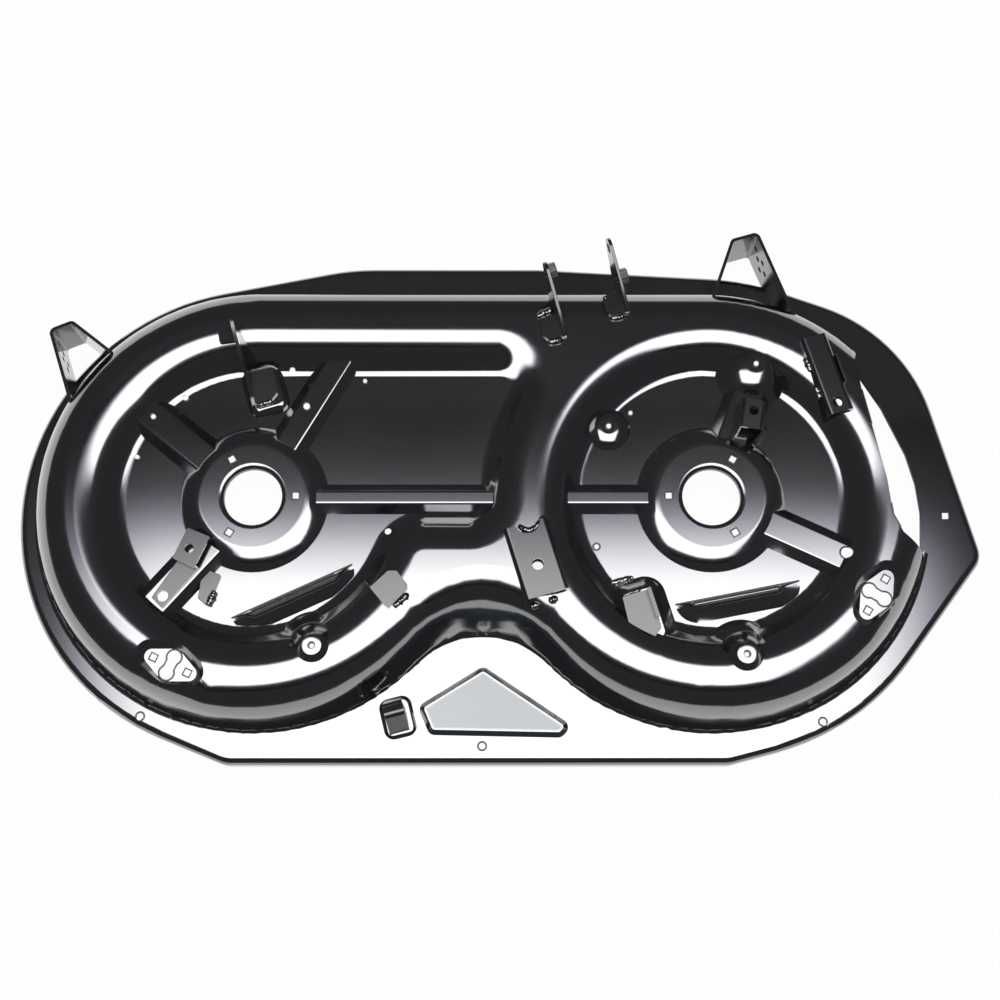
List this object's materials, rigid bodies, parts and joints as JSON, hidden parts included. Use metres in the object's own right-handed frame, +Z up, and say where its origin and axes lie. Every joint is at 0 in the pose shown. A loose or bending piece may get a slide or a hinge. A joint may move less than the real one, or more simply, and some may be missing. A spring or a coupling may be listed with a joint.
{
  "type": "lawn mower deck",
  "caption": "Stamped steel lawn mower deck with rounded blade tunnels, raised spindle seats, flat flange, side discharge opening and welded hanger and gauge wheel brackets.",
  "frame": {"origin": "middle of the bounding box in plan, at the lower edge of the lip", "axes": "+X along the line of the two spindles towards the discharge opening, +Y towards the front edge of the stamping, +Z up out of the top of the deck; the direction of travel is turned 17 degrees from +Y towards -X"},
  "size_m": [1.186, 0.6526, 0.158],
  "materials": {
    "black_paint": "gloss",
    "bare_steel": "satin"
  },
  "bodies": {
    "root": {"deck_shell": "black_paint", "gauge_bracket_left": "black_paint", "gauge_bracket_right": "black_paint", "front_hanger_left": "black_paint", "front_hanger_right": "black_paint", "hanger_nut_left": "bare_steel", "hanger_nut_right": "bare_steel", "lift_bracket": "black_paint", "discharge_channel": "black_paint", "hinge_plate": "black_paint", "clevis_bracket": "black_paint", "stepped_strap": "black_paint", "rib_tongue": "black_paint", "belt_guide": "black_paint", "centre_saddle": "black_paint", "floor_clip": "black_paint", "rear_hook": "black_paint", "skirt_fin": "black_paint"}
  },
  "joints": []
}
